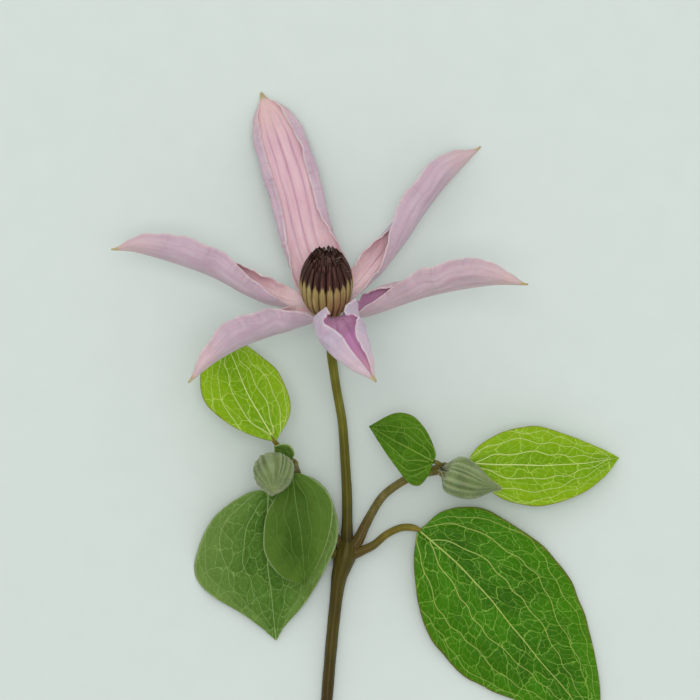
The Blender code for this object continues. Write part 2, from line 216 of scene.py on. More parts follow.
def stalk(name, origin, route, radii, finish, slot, replaced, rows=140, ribs=STEM_RIBS, rib_depth=0.03,
          flat_end=False):
    """A ribbed stalk along its route. radii run from one end to the other; the ends close in a small dome."""
    columns = 48
    points = smooth_curve(route, rows) + origin
    along, side, up = side_frames(points)
    share = np.linspace(0, 1, rows)
    radius = np.interp(share, np.linspace(0, 1, len(radii)), radii)
    kernel = np.ones(9) / 9
    radius = np.convolve(np.pad(radius, 4, mode="edge"), kernel, "valid")
    turn = np.linspace(0, 2 * math.pi, columns, endpoint=False)
    rng = np.random.default_rng(len(name) * 7 + rows)
    wobble = np.convolve(rng.normal(0, 1, rows + 20), np.ones(21) / 21, "valid") * STEM_UNEVENNESS * 3
    ripple = np.cos(turn * ribs)[None, :] * rib_depth + wobble[:, None]
    r = radius[:, None] * (1 + ripple)
    skin = points[:, None, :] + r[..., None] * (side[:, None, :] * np.cos(turn)[None, :, None]
                                                + up[:, None, :] * np.sin(turn)[None, :, None])
    ends = []
    for row, direction, depth in ((0, -1, 0.35), (rows - 1, 1, 0.35)):
        for step in (0.55, 0.9):
            shrink = math.sqrt(1 - step * step)
            lift = along[row] * direction * radius[row] * depth * step * (0.1 if flat_end else 1.0)
            ends.append(points[row] + (skin[row] - points[row]) * (1 - step if flat_end else shrink) + lift)
    rings = np.concatenate([[ends[1]], [ends[0]], skin, [ends[2]], [ends[3]]])
    total = len(rings)
    faces = grid_faces(total, columns, closed=True, flip=True).tolist()
    faces.append(list(range(columns)))
    faces.append(list(range((total - 1) * columns, total * columns))[::-1])
    groove = np.tile((0.5 - 0.5 * np.cos(turn * ribs)) ** 2, (total, 1)) * 0.45
    age = np.repeat(np.linspace(1.0, 0.0, total) ** 2.2, columns)
    return finished_mesh(name, rings.reshape(-1, 3), faces, {"groove": groove, "age": age}, finish, slot,
                         replaced)


stalk("main_stem_skin", leaf_node,
      [(-4.3, -37.0, -1.92), (-3.9, -30.0, -1.8), (-2.8, -16.9, -1.3), (-1.6, -6.2, -0.4),
       (-0.8, -2.9, -0.1), (0.0, 0.4, 0.05), (0.15, 2.0, 0.05)],
      (1.1, 1.11, 1.12, 1.13, 1.14, 1.15, 1.16, 1.17, 1.19, 1.23, 1.32, 1.6, 2.25, 1.7), woody_skin, "stem",
      ["main_stem"], rows=260, flat_end=True)

# ---------------------------------------------------------------------------------------------------------
# The flower stalk: one season's growth, greener and slimmer than the stem. It grows straight on from the
# node, bends up to lift the flower off the surface, and widens into the receptacle.
# Smooth waxy stem skin: olive green with a brown flush at the older end.
old_skin = stem_finish("olive_stem_skin", ("#66640E", "#747220", "#868432"), "#433A14")
stalk("flower_stalk_skin", leaf_node,
      [(0.1, -0.5, 0.0), (0.2, 10.0, -0.2), (-0.2, 18.0, -0.4), (-0.8, 26.0, 0.0), (-2.0, 33.0, 1.2),
       (-2.9, 39.6, 3.4), (-3.4, 47.1, 7.4), (-3.4, 48.0, 8.3)],
      (1.45, 1.0, 0.95, 0.9, 0.86, 0.88, 0.95, 1.3), old_skin, "stem", ["flower_stalk"], rows=260)

# ---------------------------------------------------------------------------------------------------------
# Shoots and leaf stalks: thin herbaceous stalks that leave the node in pairs. Each shoot ends in two leaves
# and a bud, and every stalk is one piece of tissue with what it carries.
# Young shoot skin: greyer and duller than the stalks, from the down it carries.
young_skin = stem_finish("young_shoot_skin", ("#66602A", "#7C763C", "#949058"), "#54431C")
# Leaf stalk skin: the same wax over a yellower green, brown where it joins the node.
petiole_skin = stem_finish("leaf_stalk_skin", ("#6A6218", "#827824", "#A0943E"), "#594A1C")
right_shoot = stalk("right_shoot_skin", leaf_node,
                    [(1.0, 0.9, 0.0), (2.45, 2.6, 0.35), (4.7, 7.1, 1.0), (7.5, 11.4, 2.1),
                     (11.8, 14.5, 3.2), (15.6, 15.9, 4.2), (19.9, 17.0, 5.6)],
                    (1.3, 0.95, 0.8, 0.8, 0.8, 0.85, 1.15), young_skin, "young_stem", ["right_shoot"])
left_shoot = stalk("left_shoot_skin", leaf_node,
                   [(-0.8, 0.9, 0.0), (-2.05, 2.6, 0.2), (-4.2, 5.7, -0.1), (-7.3, 10.5, -0.1),
                    (-8.9, 13.5, 0.3), (-10.1, 16.5, 2.2), (-10.5, 17.5, 4.8), (-10.6, 17.7, 7.3)],
                   (1.0, 0.9, 0.8, 0.8, 0.8, 0.85, 1.15), young_skin, "young_stem", ["left_shoot"])
stalk("right_leaf_stalk_skin", leaf_node,
      [(0.7, -0.3, -0.2), (2.2, 0.0, -0.1), (5.3, 1.3, -0.2), (8.0, 3.5, 0.2), (11.0, 4.9, 1.0),
       (13.8, 4.8, 1.7), (15.6, 3.7, 1.55)], (1.4, 0.9, 0.75, 0.72, 0.72, 0.7, 0.3), petiole_skin,
      "young_stem", ["right_leaf_stalk"], rows=110)
stalk("left_leaf_stalk_skin", leaf_node,
      [(-0.7, -0.2, -0.2), (-2.2, -0.3, 0.0), (-6.5, 2.3, -0.8), (-11.1, 7.3, -0.4), (-15.2, 12.2, 2.8)],
      (1.15, 0.85, 0.75, 0.72, 0.72), petiole_skin, "young_stem", ["left_leaf_stalk"], rows=110)
stalk("right_upper_leaf_stalk_skin", leaf_node,
      [(19.4, 17.0, 5.0), (21.0, 17.4, 4.5), (22.3, 17.9, 4.5), (24.1, 18.0, 4.75), (25.6, 17.9, 4.8)],
      (0.75, 0.5, 0.48, 0.44, 0.2), petiole_skin, "young_stem", ["right_upper_leaf_stalk"], rows=50)
stalk("right_small_leaf_stalk_skin", leaf_node,
      [(19.2, 17.1, 6.0), (18.9, 17.4, 6.7), (18.5, 17.7, 7.3), (17.6, 18.2, 8.1)], (0.7, 0.5, 0.5, 0.45),
      young_skin, "young_stem", ["right_small_leaf_stalk"], rows=50)
right_bud_stalk = stalk("right_bud_stalk_skin", leaf_node,
                        [(19.5, 16.6, 5.9), (19.3, 16.2, 6.8), (18.9, 15.9, 8.1), (19.5, 15.7, 9.0),
                         (20.6, 15.4, 9.2)], (0.7, 0.6, 0.6, 0.7), young_skin, "young_stem",
                        ["right_bud_stalk"], rows=50)
stalk("left_upper_leaf_stalk_skin", leaf_node,
      [(-10.8, 18.2, 6.6), (-11.6, 19.0, 7.0), (-12.8, 20.6, 8.4), (-14.0, 22.1, 9.9), (-15.4, 24.6, 9.7)],
      (0.75, 0.6, 0.52, 0.46, 0.2), petiole_skin, "young_stem", ["left_upper_leaf_stalk"], rows=50)
left_bud_stalk = stalk("left_bud_stalk_skin", leaf_node,
                       [(-10.7, 17.4, 7.2), (-11.0, 17.0, 8.4), (-12.0, 16.6, 9.7), (-13.3, 16.2, 10.8),
                        (-13.9, 15.9, 11.9)], (0.8, 0.65, 0.6, 0.7), young_skin, "young_stem",
                       ["left_bud_stalk"], rows=50)

# ---------------------------------------------------------------------------------------------------------
# The down on the young growth: short soft silky hairs that stand out from the shoots and bud stalks. Real
# ones are finer; these are as thin as still shows.
# Silky plant hair: pale straw to near white, with a soft sheen that greys the stalks.
hair_finish, hair_tree, hair_shader = new_finish("silky_hair", 0.55, subsurface=0.0, sheen=0.3)
hair_tint = add(hair_tree, "TexNoise", None, {"Scale": 600.0})
hair_ramp = add(hair_tree, "ValToRGB", {"stops": [(0.3, "#B9B58E"), (0.7, "#E6E4CC")]},
                {"Fac": hair_tint.outputs["Fac"]})
hair_tree.links.new(hair_ramp.outputs[0], hair_shader.inputs["Base Color"])


def hairs(name, roots, directions, lengths, thickness, slot, seed, droop=0.3):
    """Soft hairs as thin three-sided tapering strands that bend a little as they leave the skin."""
    rng = np.random.default_rng(seed)
    count = len(roots)
    directions = unit(directions + rng.normal(0, 0.35, (count, 3)))
    bend = unit(rng.normal(0, 1, (count, 3))) * droop
    across = unit(np.cross(directions, rng.normal(0, 1, (count, 3))))
    other = np.cross(directions, across)
    points = []
    steps = (0.0, 0.5, 1.0)
    for step in steps:
        centre = roots + directions * (lengths * step)[:, None] + bend * (lengths * step * step)[:, None]
        for k in range(3):
            turn = 2 * math.pi * k / 3
            width = thickness * (1.0 - 0.85 * step)
            points.append(centre + width * (across * math.cos(turn) + other * math.sin(turn)))
    points = np.stack(points, 1).reshape(-1, 3)
    pattern = []
    for i in range(2):
        for k in range(3):
            n = (k + 1) % 3
            pattern.append([3 * i + k, 3 * i + n, 3 * i + 3 + n, 3 * i + 3 + k])
    quads = (np.array(pattern)[None] + (np.arange(count) * 9)[:, None, None]).reshape(-1, 4).tolist()
    caps = [[9 * k + 2, 9 * k + 1, 9 * k] for k in range(count)] + [[9 * k + 6, 9 * k + 7,
                                                                     9 * k + 8] for k in range(count)]
    return finished_mesh(name, points, quads + caps, {}, hair_finish, slot, None)


def stalk_hairs(name, obj, count, length, seed, slot="young_stem"):
    """Hairs standing out from a stalk or bud, rooted on its own faces."""
    rng = np.random.default_rng(seed)
    mesh = obj.data
    picks = rng.choice(len(mesh.polygons), count)
    roots = np.array([mesh.polygons[p].center for p in picks]) / MM
    outward = np.array([mesh.polygons[p].normal for p in picks])
    return hairs(name, roots, outward, rng.uniform(0.5, 1.0, count) * length, 0.016, slot, seed)


stalk_hairs("right_shoot_hair", right_shoot, 700, 0.4, 11)
stalk_hairs("left_shoot_hair", left_shoot, 700, 0.4, 12)
stalk_hairs("right_bud_stalk_hair", right_bud_stalk, 260, 0.6, 13)
stalk_hairs("left_bud_stalk_hair", left_bud_stalk, 260, 0.6, 14)

# ---------------------------------------------------------------------------------------------------------
# Leaves: thin living blades with a smooth upper skin. A midrib and three pairs of nerves leave the base and
# arc to the tip; between them a net of cross veins closes into loops, each filled by a finer net. The blade
# swells a little inside each loop. Each leaf grew fast to its stalk.
LEAF_PITCH = 0.3
LOOP_SIZE = 3.3
AREOLE_SIZE = 1.25
NERVE_REACH = (0.33, 0.64, 0.88)
UP = (0.0, 0.0, 1.0)


def smooth_step(low, high, value):
    t = np.clip((value - low) / (high - low), 0, 1)
    return t * t * (3 - 2 * t)


def leaf_finish(name, blade, deep, margin, vein, net, edge, back, gloss, net_depth=1.0):
    """Leaf skin: a waxy green blade. Nerves are 0.3 mm wide, the loops' veins 0.2 mm and the finest net is
    drawn a little coarser than the real one, so that it still shows."""
    finish, tree, shader = new_finish(name, gloss, subsurface=0.1, specular=0.1)
    place = add(tree, "CombineXYZ", None, {"X": mark(tree, "lean"), "Y": mark(tree, "across")})
    wander = add(tree, "TexNoise", None, {"Vector": place.outputs[0], "Scale": 0.45, "Detail": 2.0})
    shift = add(tree, "VectorMath", {"operation": "MULTIPLY_ADD"},
                {0: wander.outputs["Color"], 1: (1.6, 1.6, 0.0), 2: place.outputs[0]})
    kink = add(tree, "TexNoise", None, {"Vector": place.outputs[0], "Scale": 1.1, "Detail": 1.0})
    kinked = add(tree, "VectorMath", {"operation": "MULTIPLY_ADD"},
                 {0: kink.outputs["Color"], 1: (0.36, 0.36, 0.0), 2: shift.outputs[0]})
    loops = add(tree, "TexVoronoi", {"feature": "DISTANCE_TO_EDGE", "voronoi_dimensions": "2D"},
                {"Vector": kinked.outputs[0], "Scale": 1 / LOOP_SIZE})
    panels = add(tree, "TexVoronoi", {"voronoi_dimensions": "2D"},
                 {"Vector": kinked.outputs[0], "Scale": 1 / LOOP_SIZE})
    fine = add(tree, "TexVoronoi", {"feature": "DISTANCE_TO_EDGE", "voronoi_dimensions": "2D"},
               {"Vector": kinked.outputs[0], "Scale": 1 / AREOLE_SIZE})
    loop_line = add(tree, "MapRange", None,
                    {"Value": loops.outputs[0], "From Min": 0.004, "From Max": 0.026,
                     "To Min": 0.85 * net_depth, "To Max": 0.0})
    patchy = add(tree, "TexNoise", None, {"Vector": place.outputs[0], "Scale": 0.5, "Detail": 2.0})
    fine_amount = add(tree, "MapRange", None,
                      {"Value": patchy.outputs["Fac"], "From Min": 0.35, "From Max": 0.65,
                       "To Min": 0.25 * net_depth, "To Max": 0.6 * net_depth})
    fine_line = add(tree, "MapRange", None, {"Value": fine.outputs[0], "From Min": 0.005, "From Max": 0.06,
                                             "To Min": fine_amount.outputs[0], "To Max": 0.0})
    nerves = None
    for k in range(4):
        gap = add(tree, "Math", {"operation": "ABSOLUTE"}, {0: mark(tree, f"gap_{k}")})
        line = add(tree, "MapRange", None, {"Value": gap.outputs[0], "From Min": 0.4, "From Max": 1.0,
                                            "To Min": (0.95, 0.8, 0.66, 0.45)[k], "To Max": 0.0})
        nerves = line if nerves is None else add(tree, "Math", {"operation": "MAXIMUM"},
                                                 {0: nerves.outputs[0], 1: line.outputs[0]})
    mottle = add(tree, "TexNoise", None, {"Vector": place.outputs[0], "Scale": 0.16, "Detail": 4.0})
    panel_tone = add(tree, "Math", {"operation": "MULTIPLY_ADD"}, {0: panels.outputs["Color"], 1: 0.35,
                                                                  2: mottle.outputs["Fac"]})
    base = add(tree, "ValToRGB", {"stops": [(0.38, deep), (0.92, blade)]}, {"Fac": panel_tone.outputs[0]})
    # Painted light: the blade is painted lighter towards its margins, standing in for light shining through
    # the thin edges and the sheen of their down.
    lit = add(tree, "MixRGB", None,
              {"Fac": mark(tree, "margin"), "Color1": base.outputs[0], "Color2": colour(margin)})
    tone = lit.outputs[0]
    for factor, code in ((fine_line.outputs[0], net), (loop_line.outputs[0], net),
                         (nerves.outputs[0], vein),
                         (mark(tree, "rim"), edge), (mark(tree, "under"), back)):
        tone = add(tree, "MixRGB", None, {"Fac": factor, "Color1": tone, "Color2": colour(code)}).outputs[0]
    tree.links.new(tone, shader.inputs["Base Color"])
    quilt = add(tree, "MapRange", None, {"Value": loops.outputs[0], "From Max": 0.22})
    small = add(tree, "MapRange", None, {"Value": fine.outputs[0], "From Max": 0.25, "To Max": 0.4})
    height = add(tree, "Math", {"operation": "ADD"}, {0: quilt.outputs[0], 1: small.outputs[0]})
    sunk = add(tree, "Math", {"operation": "MULTIPLY_ADD"},
               {0: nerves.outputs[0], 1: -0.8, 2: height.outputs[0]})
    bump = add(tree, "Bump", None, {"Strength": 0.6, "Distance": 0.00025, "Height": sunk.outputs[0]})
    tree.links.new(bump.outputs[0], shader.inputs["Normal"])
    return finish


def midrib_frames(route, faces, count):
    points = smooth_curve(route, count)
    along = unit(np.gradient(points, axis=0))
    start, end = (unit(np.array(f, float)) for f in faces)
    mix = smooth_step(0, 1, np.linspace(0, 1, count))[:, None]
    facing = start * (1 - mix) + end * mix
    facing = unit(facing - (facing * along).sum(1, keepdims=True) * along)
    return points, along, facing, np.cross(facing, along)


def shell(name, top, bottom, marks, finish, slot, replaced):
    """A thin closed blade from its upper and lower grids of points. The mark under is 1 on the lower one."""
    rows, columns = top.shape[:2]
    count = rows * columns
    order = np.arange(count).reshape(rows, columns)
    ring = np.concatenate([order[0, :], order[1:, -1], order[-1, -2::-1], order[-2:0:-1, 0]])
    following = np.roll(ring, -1)
    rim = np.stack([ring, following, following + count, ring + count], -1)
    up = grid_faces(rows, columns, flip=False)
    down = grid_faces(rows, columns, start=count, flip=True)
    points = np.concatenate([top.reshape(-1, 3), bottom.reshape(-1, 3)])
    lift = top[rows // 2, columns // 2] - bottom[rows // 2, columns // 2]
    mid_r, mid_c = rows // 2, columns // 2
    turned = np.cross(top[mid_r + 1, mid_c] - top[mid_r, mid_c],
                      top[mid_r, mid_c + 1] - top[mid_r, mid_c]) @ lift < 0
    faces = np.concatenate([up, down, rim])
    if turned:
        faces = faces[:, ::-1]
    both = {key: np.concatenate([value.ravel(), value.ravel()]) for key, value in marks.items()}
    both["under"] = np.concatenate([np.zeros(count), np.ones(count)])
    return finished_mesh(name, points, faces, both, finish, slot, replaced)


def leaf_blade(node, route, left, right, finish, slot, fold=(0.0, 0.0), arch=0.0,
               seed=1, swell=0.25, wave=0.35):
    """A leaf built on its midrib, in millimetres from the node. left and right
    are its outline as (along, across) shares of its length.
    The marks gap_0 to gap_3 are how far a point is from the midrib and the nerves, in half widths of them."""
    samples = 200
    points, along, facing, side = midrib_frames(route, (UP, UP), samples)
    length = float(np.linalg.norm(np.diff(points, axis=0), axis=1).sum())
    width = (max(a for _, a in left) + max(a for _, a in right)) * length
    rows = int(length / LEAF_PITCH)
    half = int(width / LEAF_PITCH / 2)
    rib = np.linspace(0, 1, rows)[:, None]
    share = np.linspace(-1, 1, 2 * half + 1)[None, :]
    edges = {1: smooth_curve(left, rows), -1: smooth_curve(right, rows)}
    edge_run = np.where(share > 0, edges[1][:, :1], edges[-1][:, :1])
    edge_out = np.where(share > 0, edges[1][:, 1:], edges[-1][:, 1:])
    run = rib + (edge_run - rib) * np.abs(share)
    across = edge_out * share * length
    rng = np.random.default_rng(seed)
    nick = np.convolve(rng.normal(0, 1, rows + 20), np.hanning(21) / 4, "valid")[:rows, None]
    across = across * (1 + 0.012 * nick * np.abs(share) ** 4)
    x = run * length
    inside = np.clip(run, 0.0, 1.0)
    sign = np.where(share > 0, 1.0, -1.0)
    bend = 0.35 * np.sin(x * 0.21 + seed) + 0.2 * np.sin(x * 0.57 + seed * 3)
    middle = across - bend * 0.35 * np.sin(math.pi * inside)
    gaps = {"gap_0": middle / (0.15 * (1.25 - inside) + 0.04)}
    near = np.abs(middle)
    reach_left = max(a for _, a in left) * length
    reach_right = max(a for _, a in right) * length
    for order, reach in enumerate(NERVE_REACH):
        start = (0.05, 0.0, 0.0)[order]
        t = np.clip((inside - start) / (0.97 - start), 0, 1)
        arc = reach * np.where(share > 0, reach_left,
                               reach_right) * np.sin(math.pi * t ** 0.72) ** (1.05 - 0.12 * order)
        arc = (arc * (1 + 0.05 * np.sin(t * 17 + sign * 2 + order * 2 + seed))
               + 0.22 * np.sin(x * 1.05 + order * 2 + sign + np.sin(x * 0.31)))
        tilt = np.abs(np.gradient(arc, axis=0)) / (length / rows)
        gap = (np.abs(across) - arc) / np.sqrt(1 + np.minimum(tilt, 3) ** 2)
        outside = np.where((t <= 0.0) | (t >= 0.97), 4.0, 0.0)
        gaps[f"gap_{order + 1}"] = gap / (0.10 * (1.25 - inside) + 0.035) + outside * 3
        near = np.minimum(near, np.abs(gap) + outside)
    lean = (x - np.abs(across) * 0.6) / 1.25

    at = inside * (samples - 1)
    k = np.minimum(at.astype(int), samples - 2)
    mix = (at - k)[..., None]
    centre, forward, up, out = (a[k] * (1 - mix) + a[k + 1] * mix for a in (points, along, facing, side))
    rise = np.where(across > 0, fold[0], fold[1]) * np.abs(across) - arch * across**2 / length
    rise = rise + swell * smooth_step(0, 1.6, near) * (1 - 0.6 * np.abs(share) ** 3)
    ripple = np.sin(x * 0.36 + seed) * 0.6 + np.sin(x * 0.83 + seed * 2.1) * 0.4
    rise = rise + wave * np.abs(share) ** 3 * ripple * np.sin(math.pi * np.clip(rib, 0.02, 0.98)) * sign
    rise = rise + 0.3 * wave * np.sin(x * 0.5 + across * 0.35 + seed) * np.abs(share)
    surface = centre + forward * ((run - inside) * length)[..., None] + up * rise[..., None]
    surface = surface + out * across[..., None] + leaf_node
    normal = unit(np.cross(np.gradient(surface, axis=0), np.gradient(surface, axis=1)))
    normal *= np.sign((normal * up).sum(-1, keepdims=True))
    thin = 0.32 * (1 - 0.6 * np.abs(share) ** 6) * np.ones_like(x)
    rib_back = (0.4 * (1 - inside) + 0.08) * np.exp(-((near / 0.4) ** 2))
    top = surface + normal * (thin / 2)[..., None]
    bottom = surface - normal * (thin / 2 + rib_back)[..., None]
    bottom[..., 2] = np.maximum(bottom[..., 2], 0.02)
    top[..., 2] = np.maximum(top[..., 2], 0.10)
    # Painted light: the margin mark grows towards the edges, where the blade is painted lighter.
    marks = {"lean": lean + seed * 40, "across": across,
             "rim": 0.7 * smooth_step(0.955, 1.0, np.abs(share)) * np.ones_like(x),
             "margin": smooth_step(0.2, 1.0, np.abs(share)) * 0.6 * np.ones_like(x), **gaps}
    return shell(node + "_blade", top, bottom, marks, finish, slot, [node])


# Full-grown leaf: deep green and half glossy, its pale nerves sunk so that the blade looks quilted.
mature_leaf = leaf_finish("mature_leaf_green", "#3C7606", "#285402", "#447C06", "#B4C468", "#86AC44",
                          "#6E6428", "#7FA050", 0.45)
leaf_blade("right_large_leaf",
           [(14.6, 4.4, 1.9), (24.0, -4.0, 1.9), (34.6, -16.7, 0.5), (44.0, -27.8, -1.4),
            (50.8, -37.0, -2.7)],
           ((0.0, 0.012), (0.02, 0.11), (0.11, 0.20), (0.27, 0.255), (0.42, 0.275), (0.58, 0.245),
            (0.78, 0.15), (1.0, 0.003)),
           ((0.0, 0.012), (0.05, 0.09), (0.13, 0.17), (0.25, 0.235), (0.40, 0.258), (0.55, 0.235),
            (0.75, 0.135), (1.0, 0.003)), mature_leaf, "leaf", fold=(0.06, 0.02), arch=0.9, seed=3)

# Leaf of this spring: thin and yellow-green, painted brighter than its own green to stand in for light
# shining through it, with nearly white nerves.
young_leaf = leaf_finish("young_leaf_green_painted_backlight", "#7AA208", "#628E04", "#8AAE14", "#CEDE8C", "#AECB58",
                         "#8A7A36", "#A0BE5C", 0.45)
leaf_blade("right_upper_leaf",
           [(23.9, 18.0, 5.0), (34.2, 17.4, 4.2), (44.1, 17.5, 2.2), (54.4, 18.8, -0.2)],
           ((0.0, 0.008), (0.08, 0.12), (0.24, 0.22), (0.45, 0.25), (0.68, 0.19), (0.87, 0.09),
            (1.0, 0.003)),
           ((0.0, 0.008), (0.08, 0.10), (0.24, 0.22), (0.45, 0.257), (0.68, 0.215), (0.87, 0.12),
            (1.0, 0.003)), young_leaf, "young_leaf", fold=(0.05, 0.05), arch=0.5, seed=5, swell=0.14,
           wave=0.15)

# Small folding leaf: mid green and even, its net only a shade lighter than the blade.
fold_leaf = leaf_finish("small_leaf_green", "#467206", "#305802", "#4C7610", "#7E9C40", "#668C2C",
                        "#7A8040", "#86A860", 0.5)
leaf_blade("right_small_leaf", [(17.3, 18.3, 8.2), (11.1, 21.7, 9.4), (4.6, 25.2, 7.4)],
           ((0.0, 0.02), (-0.03, 0.18), (0.0, 0.38), (0.14, 0.42), (0.34, 0.34), (0.62, 0.21),
            (1.0, 0.006)),
           ((0.0, 0.02), (0.02, 0.10), (0.16, 0.23), (0.34, 0.345), (0.56, 0.40), (0.78, 0.31),
            (1.0, 0.006)), fold_leaf, "leaf", fold=(0.0, 0.1), arch=0.4, seed=7, swell=0.15, wave=0.15)

# Full-grown leaf with a bloom: duller and greyer, so that its nerves look powdery.
shaded_leaf = leaf_finish("matt_leaf_green", "#52782A", "#3C6218", "#748F46", "#94AE6C", "#86A25C",
                          "#9DB080", "#8FAA6E", 0.55, 0.85)
leaf_blade("left_large_leaf",
           [(-15.5, 12.5, 3.4), (-15.6, 5.1, 3.7), (-15.4, -3.9, 2.0), (-14.0, -17.6, -2.0)],
           ((0.0, 0.02), (-0.10, 0.19), (-0.03, 0.36), (0.20, 0.455), (0.44, 0.415), (0.72, 0.257),
            (0.92, 0.06), (1.0, 0.004)),
           ((0.0, 0.02), (0.03, 0.15), (0.18, 0.35), (0.42, 0.46), (0.58, 0.475), (0.70, 0.36),
            (0.84, 0.16), (1.0, 0.004)), shaded_leaf, "leaf", fold=(0.05, -0.16), arch=0.3, seed=9,
           swell=0.55, wave=0.8)

# Young leaf with a bloom: dark and even, edged by a pale line of down.
dusky_leaf = leaf_finish("dark_leaf_green", "#4C6A20", "#365412", "#5A7A2C", "#64823A", "#4A6A24",
                         "#B4C890", "#8FAA6E", 0.5, 0.4)
leaf_blade("left_middle_leaf", [(-10.6, 16.0, 8.8), (-9.6, 8.1, 10.0), (-8.6, 0.1, 8.6), (-8.2, -6.2, 6.4)],
           ((0.0, 0.02), (0.04, 0.12), (0.18, 0.265), (0.36, 0.305), (0.60, 0.235), (0.85, 0.10),
            (1.0, 0.006)),
           ((0.0, 0.02), (0.10, 0.10), (0.30, 0.25), (0.50, 0.315), (0.72, 0.315), (0.91, 0.20),
            (1.0, 0.006)), dusky_leaf, "leaf", fold=(0.06, 0.06), arch=0.6, seed=11, swell=0.12, wave=0.15)
leaf_blade("left_upper_leaf",
           [(-14.0, 22.4, 10.2), (-19.4, 31.8, 8.8), (-22.6, 38.8, 5.2), (-24.2, 43.8, 1.8)],
           ((0.0, 0.012), (0.11, 0.12), (0.30, 0.25), (0.53, 0.325), (0.76, 0.265), (0.92, 0.13),
            (1.0, 0.004)),
           ((0.0, 0.012), (0.09, 0.165), (0.20, 0.25), (0.36, 0.28), (0.55, 0.26), (0.80, 0.145),
            (1.0, 0.004)), young_leaf, "young_leaf", fold=(0.08, 0.08), arch=0.4, seed=13, swell=0.14,
           wave=0.15)
leaf_blade("left_bract",
           [(-11.2, 18.4, 8.9), (-12.3, 19.9, 10.8), (-14.1, 21.3, 12.4)],
           ((0.0, 0.05), (0.25, 0.30), (0.6, 0.36), (0.85, 0.22), (1.0, 0.02)),
           ((0.0, 0.05), (0.25, 0.30), (0.6, 0.36), (0.85, 0.22), (1.0, 0.02)),
           dusky_leaf, "young_leaf", fold=(0.25, 0.25), seed=15, swell=0.04, wave=0.03)


# ---------------------------------------------------------------------------------------------------------
# Buds: closed flowers, each a fat teardrop of folded sepals under a short grey-green felt. The felt lies in
# lengthwise ribs that are deepest at the stalk end and twist into the point.
# Felt of short plant hair: matt grey-green, with painted highlights along the rib crests and round the base
# rim, and a fine nap that hides all shine.
felt, felt_tree, felt_shader = new_finish("bud_felt", 0.85, subsurface=0.1, sheen=0.2, specular=0.1)
felt_place = add(felt_tree, "TexCoord").outputs["Object"]
felt_nap = add(felt_tree, "TexNoise", None, {"Vector": felt_place, "Scale": 2200.0, "Detail": 3.0})
felt_cloud = add(felt_tree, "TexNoise", None, {"Vector": felt_place, "Scale": 300.0, "Detail": 3.0})
felt_base = add(felt_tree, "ValToRGB", {"stops": [(0.3, "#55663A"), (0.7, "#788A54")]},
                {"Fac": felt_cloud.outputs["Fac"]})
# Painted highlight: the rib crests and the base rim are mixed towards a pale silvery green.
felt_painted_highlight = add(felt_tree, "MixRGB", None,
                  {"Fac": mark(felt_tree, "crest"), "Color1": felt_base.outputs[0],
                   "Color2": colour("#CBD6AC")})
felt_speck = add(felt_tree, "MixRGB", {"blend_type": "OVERLAY"},
                 {"Fac": 0.3, "Color1": felt_painted_highlight.outputs[0], "Color2": felt_nap.outputs["Color"]})
felt_tree.links.new(felt_speck.outputs[0], felt_shader.inputs["Base Color"])
felt_bump = add(felt_tree, "Bump", None,
                {"Strength": 0.6, "Distance": 0.00012, "Height": felt_nap.outputs["Fac"]})
felt_tree.links.new(felt_bump.outputs[0], felt_shader.inputs["Normal"])


def bud(node, pointing, length, radius, seed, hook):
    """A ribbed teardrop inside its node's box, pointing the way it grows, with a rim of lobes at its base."""
    low, high = box_mm(node)
    centre = (low + high) / 2
    rows, columns = 120, 192
    s = np.linspace(0.0, 1.0, rows)[:, None]
    turn = np.linspace(0, 2 * math.pi, columns, endpoint=False)[None, :]
    profile = smooth_curve([(0.0, 0.22), (0.02, 0.62), (0.08, 0.88), (0.2, 1.0), (0.4, 0.97), (0.6, 0.78),
                            (0.78, 0.44), (0.9, 0.19), (0.97, 0.10), (1.0, 0.03)], rows)
    twist = turn + 0.9 * s + 0.16 * np.sin(3 * turn + seed) + 0.08 * np.sin(5 * turn + 2 * s)
    ribs = 1 - 2 * np.abs(np.sin(twist * 7.5)) ** 0.8 + 0.35 * np.cos(twist * 22 + 1.3)
    depth = 0.17 * (1 - s) ** 2.6 + 0.02
    seam = np.abs(np.sin(twist * 2 + seed)) ** 0.3
    r = radius * profile[:, 1:] * (1 - ribs * depth - 0.10 * (1 - seam) * s)
    aside = hook * smooth_step(0.55, 1.0, s) ** 1.5
    local = np.stack([r * np.cos(turn) + aside, r * np.sin(turn),
                      (profile[:, :1] - 0.5) * length + 0 * turn], -1)
    local[..., 2] -= 1.1 * ribs * (1 - s) ** 6
    aim = np.array(Vector(pointing).normalized().to_track_quat("Z", "Y").to_matrix())
    points = local @ aim.T + centre
    faces = grid_faces(rows, columns, closed=True, flip=True).tolist()
    faces.append(list(range(columns)))
    faces.append(list(range((rows - 1) * columns, rows * columns))[::-1])
    # Painted highlight: strongest on the rib crests near the stalk end and on the rim of lobes at the base.
    crest = smooth_step(0.1, 1.0, -ribs) * (0.08 + 0.36 * (1 - s) ** 2) + 0.4 * (1 - s) ** 5
    piece = finished_mesh(node + "_felt", points.reshape(-1, 3), faces, {"crest": crest}, felt, "bud",
                          [node])
    stalk_hairs(node + "_nap", piece, 2600, 0.3, seed, "bud")


bud("right_bud", (0.90, -0.45, 0.06), 11.4, 3.75, 21, 1.5)
bud("left_bud", (-0.10, -0.66, 0.74), 9.3, 3.8, 22, 0.3)

# ---------------------------------------------------------------------------------------------------------
# Sepals: six thick petal-like blades on the receptacle's rim. Each is a boat: the keel bends over along the
# middle, the lobes rise from it and their crimped margins roll inwards. The inner skin is pink and grooved,
# the outer one a paler grey mauve with a bloom, and each ends in a short dry point.
FLOWER_TILT = math.radians(47.0)
